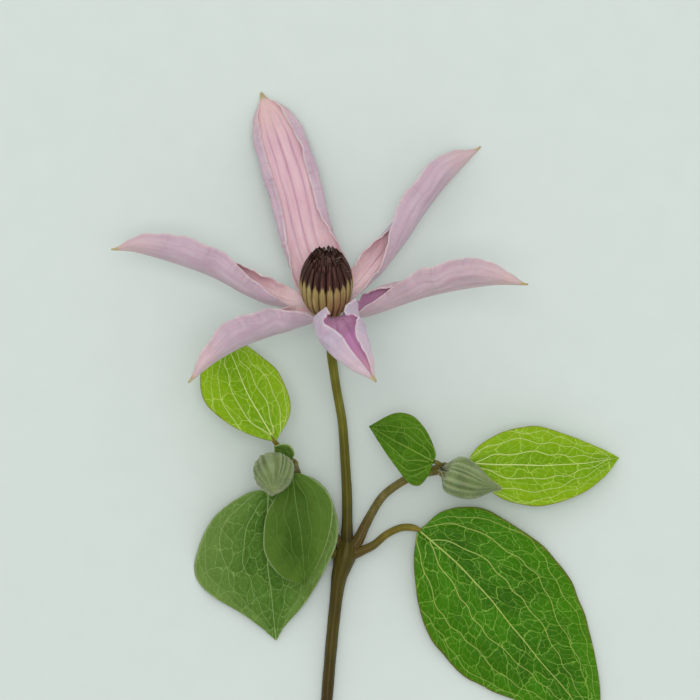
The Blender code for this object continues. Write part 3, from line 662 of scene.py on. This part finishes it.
# The flower's base is on its axis, this far above the middle of the receptacle's solid.
BASE_RISE = 0.83
seat_low, seat_high = box_mm("receptacle")
flower_axis = np.array((0.0, math.sin(FLOWER_TILT), math.cos(FLOWER_TILT)))
flower_back = np.array((0.0, math.cos(FLOWER_TILT), -math.sin(FLOWER_TILT)))
flower_base = (seat_low + seat_high) / 2 + BASE_RISE * flower_axis
SEPAL_STATIONS = (0, 0.04, 0.12, 0.25, 0.42, 0.62, 0.78, 0.88, 0.94, 0.97, 1.0)
SEPAL_OUTLINE = (0.24, 0.36, 0.60, 0.85, 0.97, 1.0, 0.88, 0.60, 0.28, 0.09, 0.015)


def sepal_finish(name, inner, groove, outer, shade, rim, tip, seat):
    """Satin sepal skin: lengthwise veins about 0.6 mm apart, pink within and pale mauve outside."""
    finish, tree, shader = new_finish(name, 0.5, ior=1.4, subsurface=0.25, sheen=0.15)
    run, across = mark(tree, "run"), mark(tree, "across")
    place = add(tree, "CombineXYZ", None, {"X": run, "Y": across})
    vein_map = add(tree, "Mapping", None, {"Vector": place.outputs[0], "Scale": (0.10, 1.8, 1.0)})
    veins = add(tree, "TexNoise", None, {"Vector": vein_map.outputs[0], "Scale": 1.0, "Detail": 3.0})
    cloud_map = add(tree, "Mapping", None, {"Vector": place.outputs[0], "Scale": (0.12, 0.35, 1.0)})
    clouds = add(tree, "TexNoise", None, {"Vector": cloud_map.outputs[0], "Scale": 1.0, "Detail": 3.0})
    grain = add(tree, "TexNoise", None, {"Vector": place.outputs[0], "Scale": 5.0, "Detail": 3.0})
    inside = add(tree, "ValToRGB", {"stops": [(0.3, inner[0]), (0.7, inner[1])]},
                 {"Fac": clouds.outputs["Fac"]})
    grooved = add(tree, "MixRGB", None, {"Fac": mark(tree, "groove"), "Color1": inside.outputs[0],
                                         "Color2": colour(groove)})
    # Towards the base the inner skin takes the seat colour: a real violet flush on the mauve skin, painted
    # light in pale pink on the pink one.
    seat_flush_and_light = add(tree, "MixRGB", None, {"Fac": mark(tree, "seat"), "Color1": grooved.outputs[0],
                                        "Color2": colour(seat)})
    outside = add(tree, "ValToRGB", {"stops": [(0.3, outer[0]), (0.7, outer[1])]},
                  {"Fac": clouds.outputs["Fac"]})
    # Painted shade: the outer skin is darkened towards the shade colour along its grooves and towards its
    # margins.
    ribbed = add(tree, "MixRGB", None, {"Fac": mark(tree, "ridge"), "Color1": outside.outputs[0],
                                        "Color2": colour(shade)})
    sides = add(tree, "MixRGB", None, {"Fac": mark(tree, "under"), "Color1": seat_flush_and_light.outputs[0],
                                       "Color2": ribbed.outputs[0]})
    streaks = add(tree, "MapRange", None,
                  {"Value": veins.outputs["Fac"], "From Min": 0.35, "From Max": 0.75, "To Min": 0.0,
                   "To Max": 0.4})
    streaked = add(tree, "MixRGB", {"blend_type": "MULTIPLY"},
                   {"Fac": streaks.outputs[0], "Color1": sides.outputs[0], "Color2": colour("#DDBFD0")})
    # Painted highlight: a cream rim light along the margins of the inner skin, and along the margins and down
    # the keel of the outer one.
    painted_rim_light = add(tree, "MixRGB", None,
                    {"Fac": mark(tree, "under"), "Color1": mark(tree, "edge"),
                     "Color2": mark(tree, "keel")})
    warmed = add(tree, "MixRGB", None, {"Fac": mark(tree, "warm"), "Color1": streaked.outputs[0],
                                        "Color2": colour("#DDC0B4")})
    rim_lit = add(tree, "MixRGB", None,
                {"Fac": painted_rim_light.outputs[0], "Color1": warmed.outputs[0], "Color2": colour(rim)})
    tipped = add(tree, "MixRGB", None,
                 {"Fac": mark(tree, "tip"), "Color1": rim_lit.outputs[0], "Color2": colour(tip)})
    tree.links.new(tipped.outputs[0], shader.inputs["Base Color"])
    dents = add(tree, "TexNoise", None, {"Vector": place.outputs[0], "Scale": 0.55, "Detail": 2.0})
    relief = add(tree, "Math", {"operation": "MULTIPLY_ADD"},
                 {0: dents.outputs["Fac"], 1: 2.4, 2: veins.outputs["Fac"]})
    height = add(tree, "Math", {"operation": "MULTIPLY_ADD"},
                 {0: grain.outputs["Fac"], 1: 0.3, 2: relief.outputs[0]})
    bump = add(tree, "Bump", None, {"Strength": 0.5, "Distance": 0.0002, "Height": height.outputs[0]})
    tree.links.new(bump.outputs[0], shader.inputs["Normal"])
    return finish


# Satin petal tissue: soft light passes a little way in, and fine lengthwise veins streak the pink.
# Its seat colour, a pale pink, is painted light that lifts the shaded inner skin near the base.
pink_sepal = sepal_finish("pink_sepal", ("#D6B2BC", "#E2C4CA"), "#B4829E", ("#C0A9B6", "#CEBAC4"),
                          "#AC94A4", "#EFE3DA", "#B9A878", "#E9D6D6")
# The same, flushed violet towards its seat.
mauve_sepal = sepal_finish("mauve_sepal", ("#D6B2BC", "#E2C4CA"), "#B4829E", ("#C0A8B2", "#CDB8BE"),
                           "#AC94A0", "#EFE3DA", "#B9A878", "#C08CBA")
# The same, but wholly violet inside and lilac outside, its violet painted lighter than its own colour to make
# up for the shade of its rolled lobes.
violet_sepal = sepal_finish("violet_sepal", ("#DA9ECC", "#E4B0D8"), "#BC7CB0", ("#BCACC0", "#CEC0D0"),
                            "#AE96A5", "#F1E7E0", "#B9A878", "#C08CBA")


def sepal(node, azimuth, route, faces, lobes, finish, seed, crimp=0.16, point=0.95, flat=0.1, seat_flush_and_painted_light=0.6,
          calm=0.5, shut=0.42,
          outline=SEPAL_OUTLINE):
    """A sepal from its seat out along its route. Each of its two lobes has a half width at its base and
    beyond, the angle at which it leaves the keel, and how far it curls between two shares of its width."""
    rows, half = 240, 46
    turn = math.radians(azimuth)
    seat = 3.5 * (math.cos(turn) * np.array((1.0, 0.0,
                                             0.0)) + math.sin(turn) * flower_back) - 0.9 * flower_axis
    points, along, facing, side = midrib_frames([seat, *route], faces, rows)
    points = points + flower_base
    length = float(np.linalg.norm(np.diff(points, axis=0), axis=1).sum())
    s = np.linspace(0, 1, rows)
    share = np.interp(s, SEPAL_STATIONS, outline)
    share = np.convolve(np.pad(share, 7, mode="edge"), np.hanning(17)[1:-1] / np.hanning(17)[1:-1].sum(),
                        "valid")
    rng = np.random.default_rng(seed)
    soft = np.convolve(rng.normal(0, 1, rows + 40), np.hanning(41) / 6, "valid")[:rows]
    t = np.linspace(-1, 1, 2 * half + 1)
    reach = np.abs(t)
    opening = np.minimum(1.0, 0.35 + s * 4.0)
    closing = shut + (1 - shut) * smooth_step(0.12, 0.44, s)
    ending = 1.0 - flat * smooth_step(0.80, 1.0, s)
    step = 1.0 / half
    x = np.zeros((rows, 2 * half + 1))
    y = np.zeros_like(x)
    across = np.zeros_like(x)
    for sign, (base_width, width, keel, curl, begin, end) in zip((1, -1), lobes):
        wide = (base_width + (width - base_width) * smooth_step(0.22, 0.5, s)) * share * (1 + 0.025 * soft)
        for k in range(1, half + 1):
            here, before = half + sign * k, half + sign * (k - 1)
            u = (k - 0.5) * step
            heading = math.radians(keel) * min(1.0, u / 0.12) + math.radians(curl) * smooth_step(begin, end,
                                                                                                 u) * closing
            heading = heading * opening * ending * (1 + 0.10 * soft)
            x[:, here] = x[:, before] + sign * np.cos(heading) * step * wide
            y[:, here] = y[:, before] + np.sin(heading) * step * wide
            across[:, here] = sign * u * wide
    run = (s * length)[:, None]
    surface = points[:, None] + side[:, None] * x[..., None] + facing[:, None] * y[..., None]

    def skin_normal():
        n = unit(np.cross(np.gradient(surface, axis=1), np.gradient(surface, axis=0)))
        return n * np.sign((n[:, half : half + 1] * facing[:, None]).sum(-1, keepdims=True))

    fade = np.minimum(1, np.minimum(s / calm, (1 - s) / 0.12))[:, None]
    jitter = np.convolve(rng.normal(0, 1, rows + 60), np.hanning(25) / 5, "valid")[:rows][:, None]
    wave = np.sin(run * 2 * math.pi / 5.1 + 2.2 * jitter + np.sign(t) * 1.3)
    wave = wave + 0.5 * np.sin(run * 2 * math.pi / 2.3 + jitter * 3 + np.sign(t) * 2.1)
    lift = crimp * wave * smooth_step(0.62, 1.0, reach)[None, :] * fade
    pucker = (np.sin(run * 2 * math.pi / 1.25 + 4.0 * jitter + across * 0.8)
              * (0.6 + 0.4 * np.sin(run * 0.9 + jitter * 5)))
    lift = lift + 0.35 * crimp * pucker * smooth_step(0.4, 0.95, reach)[None, :] * fade
    valley = np.exp(-((t / 0.035) ** 2)) + 0.8 * np.exp(-(((reach - 0.27) / 0.035) ** 2))
    valley = valley + 0.25 * np.exp(-(((reach - 0.5) / 0.05) ** 2))
    valley = valley[None, :] * np.minimum(1, (1 - s)[:, None] / 0.25)
    lift = lift - 0.2 * valley + 0.05 * np.sin(across * 2.6 + run * 0.12) * fade
    surface = surface + skin_normal() * lift[..., None]
    normal = skin_normal()
    thin = 0.48 - 0.26 * reach[None, :] ** 3 + 0 * s[:, None]
    thin = thin * (1 - 0.4 * smooth_step(0.8, 1.0, s)[:, None]) + 0.5 * (1 - smooth_step(0.0, 0.1,
                                                                                         s))[:, None]
    top = surface + normal * (thin / 2)[..., None]
    bottom = surface - normal * (thin / 2)[..., None]
    for layer in (top, bottom):
        layer[..., 2] = np.maximum(layer[..., 2], 0.02)
    ones = np.ones((rows, 2 * half + 1))
    # Painted highlights in the rim colour: cream lines along the margins, and on the outer skin also down the
    # keel.
    edge = 0.35 * smooth_step(0.93, 1.0, reach) + 0.45 * np.exp(-((reach / 0.05) ** 2))
    # Painted shade on the outer skin: strongest in the grooves, and growing towards the margins.
    ridge = 0.5 * valley * (reach > 0.15) + 0.2 * smooth_step(0.3, 0.9, reach)[None, :]
    # The seat mark sets how much seat colour the base of the inner skin takes; on the pink skin this is
    # painted light.
    marks = {"run": run * ones, "across": t[None, :] * 7.0 * ones, "groove": 0.75 * valley * ones,
             "ridge": ridge,
             "edge": 0.35 * smooth_step(0.93, 1.0, reach)[None, :] * np.minimum(1, 0.2 + s / calm)[:, None],
             "seat": seat_flush_and_painted_light * (1 - smooth_step(0.1, 0.5, s))[:, None] * ones, "keel": edge[None, :] * ones,
             "warm": 0.55 * smooth_step(0.72, 0.95, s)[:, None] * (1 - 0.5 * reach)[None, :] * ones,
             "tip": smooth_step(point, point + 0.035, s)[:, None] * ones}
    return shell(node + "_blade", top, bottom, marks, finish, "sepal", [node])


axis_face = tuple(flower_axis)
sepal("sepal_back", 106, [(-4.6, 12.6, -4.2), (-6.9, 22.2, -6.4), (-9.9, 32.2, -9.4), (-13.6, 42.4, -12.4)],
      (axis_face, (0.0, 0.2, 1.0)), ((7.1, 7.1, 10, 170, 0.62, 0.88), (7.9, 7.9, 10, 165, 0.58, 0.86)),
      pink_sepal, 31, crimp=0.2, seat_flush_and_painted_light=0.3, flat=0.5,
      outline=(0.5, 0.76, 0.92, 0.98, 1.0, 1.03, 0.97, 0.68, 0.28, 0.10, 0.015))
sepal("sepal_back_right", 43,
      [(7.6, 4.6, -3.6), (14.4, 12.6, -5.2), (22.6, 23.4, -6.8), (30.2, 31.4, -8.2)],
      (axis_face, (-0.6, 0.7, 0.35)), ((7.0, 6.6, 42, 118, 0.2, 0.95), (7.2, 8.9, 40, 95, 0.2, 1.0)),
      pink_sepal, 32)
sepal("sepal_right", -14, [(7.6, -2.0, 2.2), (19.4, 1.7, 8.7), (30.8, 3.8, 15.2), (38.6, 3.6, 19.5)],
      (axis_face, (0.0, 0.95, 0.3)), ((8.4, 6.4, 36, 185, 0.35, 0.95), (5.8, 8.4, 40, 95, 0.2, 1.0)),
      mauve_sepal, 33, seat_flush_and_painted_light=0.7, shut=0.55)
sepal("sepal_front", -73, [(1.5, -4.5, 11.2), (2.2, -6.6, 21.2), (4.9, -10.7, 30.2), (9.1, -15.1, 35.2)],
      (axis_face, (-0.1, 0.8, 0.6)), ((8.5, 8.9, 19, 132, 0.24, 0.95), (4.1, 10.0, 17, 134, 0.21, 0.95)),
      violet_sepal, 34, crimp=0.22, flat=-0.35, seat_flush_and_painted_light=0.0, calm=0.15, shut=0.66,
      outline=(0.3, 0.5, 0.78, 0.96, 1.0, 1.0, 0.88, 0.60, 0.28, 0.09, 0.015))
sepal("sepal_front_left", -128,
      [(-8.0, -4.8, 7.7), (-16.4, -7.9, 17.2), (-22.0, -11.1, 23.7), (-26.8, -15.3, 27.2)],
      (axis_face, (-0.2, 0.95, 0.3)), ((7.8, 8.4, 40, 95, 0.2, 1.0), (6.2, 6.2, 38, 125, 0.1, 0.9)),
      pink_sepal, 35)
sepal("sepal_left", 178, [(-12.4, 0.6, -0.2), (-24.0, 6.2, 1.2), (-36.6, 10.2, 2.8), (-42.8, 10.7, 4.2)],
      (axis_face, (0.0, 0.95, 0.3)), ((6.4, 8.4, 40, 95, 0.2, 1.0), (6.6, 6.2, 40, 108, 0.25, 0.95)),
      pink_sepal, 36)

# ---------------------------------------------------------------------------------------------------------
# The receptacle: the swollen end of the flower stalk, a firm green knob that every sepal, stamen and pistil
# grows from.
stalk("receptacle_skin", flower_base,
      [tuple(-3.0 * flower_axis), tuple(-1.5 * flower_axis), tuple(-0.25 * flower_axis)],
      (1.25, 1.7, 2.4, 2.9, 3.0, 2.8), old_skin, "young_stem", ["receptacle"], rows=40, rib_depth=0.02)

# ---------------------------------------------------------------------------------------------------------
# Stamens: flat fleshy strips that stand round the receptacle like barrel staves, with more of them inside.
# The filament below is dull gold and the anther above it maroon.
# Fleshy filament and dry anther: two colours that meet in a ragged line, streaked lengthwise.
stamen_finish, stamen_tree, stamen_shader = new_finish("stamen_filament", 0.55, subsurface=0.1)
stamen_place = add(stamen_tree, "CombineXYZ", None,
                   {"X": mark(stamen_tree, "run"), "Y": mark(stamen_tree, "across"),
                    "Z": mark(stamen_tree, "which")})
stamen_streak = add(stamen_tree, "Mapping", None,
                    {"Vector": stamen_place.outputs[0], "Scale": (0.25, 5.0, 3.0)})
stamen_noise = add(stamen_tree, "TexNoise", None,
                   {"Vector": stamen_streak.outputs[0], "Scale": 1.0, "Detail": 4.0})
gold = add(stamen_tree, "ValToRGB", {"stops": [(0.3, "#927C46"), (0.55, "#B09E66"), (0.75, "#CABB88")]},
           {"Fac": stamen_noise.outputs["Fac"]})
maroon = add(stamen_tree, "ValToRGB", {"stops": [(0.3, "#2A1814"), (0.55, "#4C302A"), (0.8, "#7E5A50")]},
             {"Fac": stamen_noise.outputs["Fac"]})
two_tone = add(stamen_tree, "MixRGB", None, {"Fac": mark(stamen_tree, "anther"), "Color1": gold.outputs[0],
                                             "Color2": maroon.outputs[0]})
# Painted shade: each strip is darkened along its side edges, standing in for the shade in the gaps between
# the strips.
strip_edges_painted_shade = add(stamen_tree, "MixRGB", {"blend_type": "MULTIPLY"},
             {"Fac": mark(stamen_tree, "seam"), "Color1": two_tone.outputs[0], "Color2": colour("#7E6C54")})
stamen_tree.links.new(strip_edges_painted_shade.outputs[0], stamen_shader.inputs["Base Color"])
stamen_bump = add(stamen_tree, "Bump", None,
                  {"Strength": 0.4, "Distance": 0.0001, "Height": stamen_noise.outputs["Fac"]})
stamen_tree.links.new(stamen_bump.outputs[0], stamen_shader.inputs["Normal"])
crown_base = flower_base + np.array((-0.5, 0.0, 0.0))
STAMEN_HEIGHTS = (0.0, 2.5, 5.5, 8.2, 11.0, 13.6)
STAMEN_RADII = (3.5, 4.7, 5.1, 4.85, 3.85, 2.2)
STAMEN_WIDTHS = (0.8, 1.25, 1.44, 1.38, 1.08, 0.72)
OUTER_STAMENS = 22


def stamen_strip(azimuth, height, setback, rng, boundary, wide=1.0):
    """One flat stamen: returns its points, faces and marks. height is where its point ends."""
    rows, columns = 44, 16
    s = np.linspace(0, 1, rows)
    h = s * height
    bow = np.interp(h * 13.6 / max(height, 13.6), STAMEN_HEIGHTS, STAMEN_RADII)
    bow = np.convolve(np.pad(bow, 4, mode="edge"), np.ones(9) / 9, "valid") - setback
    w = np.interp(s, np.array(STAMEN_HEIGHTS) / 13.6, STAMEN_WIDTHS) * wide * 0.95
    w = np.convolve(np.pad(w, 3, mode="edge"), np.ones(7) / 7, "valid") / 2
    w = w * np.sqrt(1 - smooth_step(0.93, 1.0, s) * 0.97)
    turn = math.radians(azimuth)
    radial = math.cos(turn) * np.array((1.0, 0.0, 0.0)) + math.sin(turn) * flower_back
    aside = -math.sin(turn) * np.array((1.0, 0.0, 0.0)) + math.cos(turn) * flower_back
    wander = rng.normal(0, 0.10) * s**2 + 0.03 * np.sin(s * 9 + rng.uniform(0, 6))
    twist = rng.normal(0, 0.06) + rng.normal(0, 0.12) * s**2
    centre = crown_base + bow[:, None] * radial + h[:, None] * flower_axis + wander[:, None] * aside
    flat = unit(aside * np.cos(twist)[:, None] + radial * np.sin(twist)[:, None])
    along = unit(np.gradient(centre, axis=0))
    normal = unit(np.cross(along, flat))
    normal *= np.sign((normal * radial).sum(-1, keepdims=True))
    a = np.linspace(0, 2 * math.pi, columns, endpoint=False)
    thick = 0.34 - 0.06 * smooth_step(0.45, 0.7, s) - 0.12 * smooth_step(0.93, 1.0, s)
    ridge = 0.10 * np.cos(a) ** 2 - 0.05
    points = centre[:, None] + flat[:, None] * (w[:, None] * np.cos(a))[..., None]
    points = (points + normal[:, None] * (thick[:, None] * np.sin(a)
                                      * (0.6 + 0.4 * np.abs(np.sin(a))) + ridge)[..., None])
    faces = grid_faces(rows, columns, closed=True, flip=True).tolist()
    faces += [list(range(columns)), list(range((rows - 1) * columns, rows * columns))[::-1]]
    if np.cross(flat[5], normal[5]) @ along[5] < 0:
        faces = [face[::-1] for face in faces]
    t = np.cos(a)[None, :]
    line = boundary + 1.3 * (0.5 - np.abs(t)) + 0.2 * np.sin(t * 9 + azimuth)
    # The seam mark is painted shade along each strip's side edges.
    marks = {"anther": smooth_step(-0.45, 0.45, h[:, None] - line), "run": h[:, None] + 0 * t,
             "across": w[:, None] * t, "which": np.full((rows, columns), azimuth * 0.37 + setback),
             "seam": (np.abs(t) ** 8 * 0.8) + 0 * h[:, None]}
    return points.reshape(-1, 3), faces, {key: value.ravel() for key, value in marks.items()}


def joined(parts):
    """Several strips as one mesh's points, faces and marks."""
    points, faces, marks, base = [], [], {}, 0
    for p, f, m in parts:
        points.append(p)
        faces += [[i + base for i in face] for face in f]
        for key, value in m.items():
            marks.setdefault(key, []).append(value)
        base += len(p)
    return np.concatenate(points), faces, {key: np.concatenate(value) for key, value in marks.items()}


stamen_rng = np.random.default_rng(41)
for k in range(OUTER_STAMENS):
    strip = stamen_strip(360 * k / OUTER_STAMENS, stamen_rng.uniform(11.6, 13.2), 0.0, stamen_rng,
                         stamen_rng.uniform(7.1, 8.1))
    finished_mesh(f"stamen_{k + 1:02d}_strip", *strip, stamen_finish, "stamen", [f"stamen_{k + 1:02d}"])
inner_strips = []
for count, setback, low, high, wide in ((17, 0.75, 12.2, 13.6, 0.9), (14, 1.5, 12.8, 14.2, 0.85),
                                        (10, 2.3, 13.0, 14.2, 0.8)):
    for k in range(count):
        inner_strips.append(stamen_strip(360 * (k + 0.5) / count + stamen_rng.uniform(-4, 4),
                                         stamen_rng.uniform(low, high), setback * 0.9, stamen_rng, 6.5,
                                         wide))
finished_mesh("inner_stamens_strips", *joined(inner_strips), stamen_finish, "stamen", ["inner_stamens"])

# ---------------------------------------------------------------------------------------------------------
# Pistils: a bundle of slender green pistils held by the stamens, tipped with silky down that shows between
# the anthers at the crown.
# The pistils wear the flower stalk's green skin; their down is the same silky hair as the shoots'.
stalk("pistils_core", flower_base,
      [tuple(0.0 * flower_axis), tuple(6.0 * flower_axis), tuple(12.2 * flower_axis)],
      (1.3, 1.8, 2.0, 1.7, 1.2, 0.4), old_skin, "pistil", ["pistils"], rows=50, ribs=9, rib_depth=0.08)
down_rng = np.random.default_rng(43)
down_count = 110
down_turn = down_rng.uniform(0, 2 * math.pi, down_count)
down_height = down_rng.uniform(9.5, 12.4, down_count)
down_radius = np.interp(down_height, (9.5, 12.4), (2.6, 0.5))
down_side = np.cos(down_turn)[:, None] * np.array((1.0, 0.0,
                                                   0.0)) + np.sin(down_turn)[:, None] * flower_back
down_roots = flower_base + down_side * down_radius[:, None] + flower_axis * down_height[:, None]
hairs("pistils_down", down_roots, flower_axis * 1.0 + down_side * 0.5,
      down_rng.uniform(1.6, 3.0, down_count), 0.02, "pistil", 44)

# ---------------------------------------------------------------------------------------------------------
# The stage: a sheet of pale grey-green paper that the sprig lies on, one soft light straight above, a
# broader one from behind the flower and a weak one in front, and a camera looking straight down.
# Uncoated paper: quite matt, with a faint mottle from its fibres.
paper, paper_tree, paper_shader = new_finish("pale_green_paper", 0.9)
paper_noise = add(paper_tree, "TexNoise", None, {"Scale": 900.0, "Detail": 3.0})
paper_ramp = add(paper_tree, "ValToRGB", {"stops": [(0.3, "#D0D9D4"), (0.7, "#D2DBD6")]},
                 {"Fac": paper_noise.outputs["Fac"]})
paper_tree.links.new(paper_ramp.outputs[0], paper_shader.inputs["Base Color"])
floor_mesh = bpy.data.meshes.new("surface")
floor_mesh.from_pydata([(-3, -3, 0), (3, -3, 0), (3, 3, 0), (-3, 3, 0)], [], [(0, 1, 2, 3)])
floor_mesh.materials.append(paper)
floor = bpy.data.objects.new("surface", floor_mesh)
bpy.context.scene.collection.objects.link(floor)

scene = bpy.context.scene
scene.view_settings.view_transform = "Standard"
scene.view_settings.look = "None"
world = bpy.data.worlds.new("pale_room")
world.use_nodes = True
world.node_tree.nodes["Background"].inputs["Color"].default_value = colour("#F4F6F5")
world.node_tree.nodes["Background"].inputs["Strength"].default_value = 0.60
scene.world = world


def lamp(name, place, size, power):
    """A square soft light, aimed at the middle of the sprig."""
    data = bpy.data.lights.new(name, "AREA")
    data.size = size
    data.energy = power
    obj = bpy.data.objects.new(name, data)
    obj.location = place
    obj.rotation_euler = (Vector((0, 0, 0.02)) - Vector(place)).to_track_quat("-Z", "Y").to_euler()
    scene.collection.objects.link(obj)


lamp("overhead_light", (0.0, 0.03, 1.25), 0.5, 5.0)
lamp("high_light", (-0.15, 0.7, 0.85), 1.2, 3.1)
lamp("fill_light", (0.5, -0.6, 0.8), 1.3, 1.0)

# A long lens from a metre up, set a little off the sprig's middle.
CAMERA_HEIGHT = 1.0
CAMERA_SHIFT = (-0.0033, 0.0129)
cad_low, cad_high = cad_box
middle = (cad_low + cad_high) / 2
camera_data = bpy.data.cameras.new("camera")
camera_data.lens = 257.0
camera_data.sensor_width = 36.0
camera_data.clip_start = 0.05
camera = bpy.data.objects.new("camera", camera_data)
camera.location = (middle.x + CAMERA_SHIFT[0], middle.y + CAMERA_SHIFT[1], CAMERA_HEIGHT)
scene.collection.objects.link(camera)
scene.camera = camera
